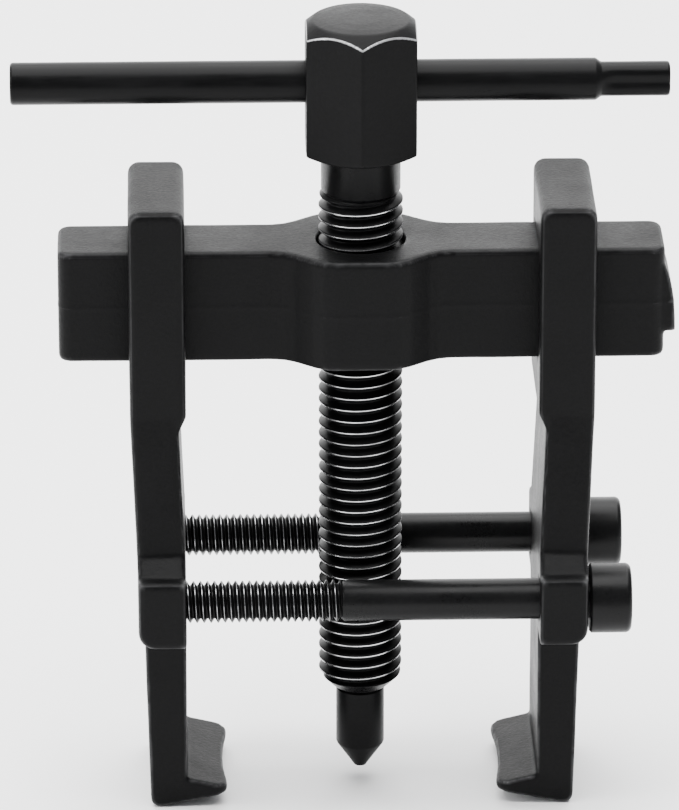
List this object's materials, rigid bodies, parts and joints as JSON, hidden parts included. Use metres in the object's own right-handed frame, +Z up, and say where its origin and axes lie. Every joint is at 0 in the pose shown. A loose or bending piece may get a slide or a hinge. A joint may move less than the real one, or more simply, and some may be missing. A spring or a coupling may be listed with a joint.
{
  "type": "gear puller",
  "caption": "Gear puller: slotted jaws slide on a crossbar, side clamp bolts set their spacing, and a forcing screw with a sliding T-bar presses on the shaft.",
  "frame": {"origin": "the flat end of the forcing screw's point, on the screw's axis, where the tool bears on a shaft", "axes": "+Z up the screw's axis from its point to its head, +X along the crossbar from the left jaw to the right jaw, where the bolts have their heads, +Y to the back"},
  "size_m": [0.0939, 0.035, 0.1172],
  "materials": {
    "forged_black": "black oxide on a shot-blasted forging, satin, slightly grainy",
    "screw_black": "black oxide on turned steel, crests rubbed bright",
    "bolt_black": "black oxide on rolled-thread cap screws, semi-gloss",
    "point_black": "hardened and blackened, satin",
    "bar_black": "black oxide on drawn round bar, satin with faint lengthwise grain"
  },
  "bodies": {
    "crossbar": {"crossbar": "forged_black"},
    "left_jaw": {"left_jaw": "forged_black"},
    "right_jaw": {"right_jaw": "forged_black"},
    "front_bolt": {"front_bolt": "bolt_black"},
    "rear_bolt": {"rear_bolt": "bolt_black"},
    "screw_point": {"screw_point": "point_black"},
    "forcing_screw": {"forcing_screw": "screw_black"},
    "sliding_bar": {"sliding_bar": "bar_black"}
  },
  "joints": [
    {"name": "clamp_shift", "type": "slide", "parent": "crossbar", "child": "left_jaw", "axis": [1, 0, 0], "range_m": [-0.004, 0.004]},
    {"name": "jaw_gap", "type": "slide", "parent": "left_jaw", "child": "right_jaw", "axis": [-1, 0, 0], "range_m": [-0.003, 0.007]},
    {"name": "front_bolt_spin", "type": "hinge", "parent": "right_jaw", "child": "front_bolt", "pos_m": [0.03, -0.012, 0.0316], "axis": [-1, 0, 0], "range_deg": [-1080, 2520]},
    {"name": "rear_bolt_spin", "type": "hinge", "parent": "right_jaw", "child": "rear_bolt", "pos_m": [0.03, 0.012, 0.0316], "axis": [-1, 0, 0], "range_deg": [-1080, 2520]},
    {"name": "screw_travel", "type": "slide", "parent": "crossbar", "child": "screw_point", "axis": [0, 0, 1], "range_m": [-0.01225, 0.049]},
    {"name": "screw_spin", "type": "hinge", "parent": "screw_point", "child": "forcing_screw", "pos_m": [0, 0, 0.06], "axis": [0, 0, 1], "range_deg": [-2520, 10080]},
    {"name": "bar_slide", "type": "slide", "parent": "forcing_screw", "child": "sliding_bar", "axis": [1, 0, 0], "range_m": [-0.033, 0.033]}
  ],
  "couplings": [
    {"joint": "screw_travel", "follows": "screw_spin", "m_per_rad": 0.00027852},
    {"joint": "front_bolt_spin", "follows": "jaw_gap", "rad_per_m": 6283.2},
    {"joint": "rear_bolt_spin", "follows": "jaw_gap", "rad_per_m": 6283.2}
  ]
}
